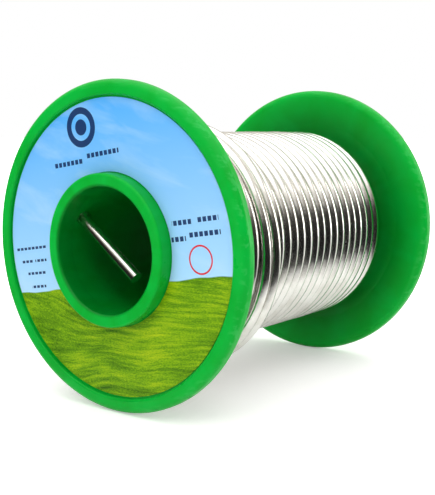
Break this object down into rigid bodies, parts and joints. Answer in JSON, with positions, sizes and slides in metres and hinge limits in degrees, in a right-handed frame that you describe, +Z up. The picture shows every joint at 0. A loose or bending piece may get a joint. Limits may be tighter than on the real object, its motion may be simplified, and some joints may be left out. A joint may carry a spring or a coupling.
{
  "type": "solder wire spool",
  "caption": "Plastic flanged spool lying on its rims, wound with bare solder wire, with a round front label and the wire's start across its bore.",
  "frame": {"origin": "on the ground under the middle of the spool: x = 0 and y = 0 at the middle, z = 0 at the bottom of the rims", "axes": "spool axis along Y with the labelled end facing -Y, +Z up, +X to the right seen from the labelled end"},
  "size_m": [0.0504, 0.0614, 0.0504],
  "materials": {
    "green_plastic": "gloss",
    "label_paper": "gloss",
    "solder": "satin"
  },
  "bodies": {
    "root": {"front_flange": "green_plastic", "rear_flange": "green_plastic", "core_tube": "green_plastic", "front_label": "label_paper", "wire_start": "solder", "wire_layer_1": "solder", "wire_layer_2": "solder", "wire_layer_3": "solder", "wire_layer_4": "solder", "wire_part_layer": "solder", "wire_end": "solder"}
  },
  "joints": []
}
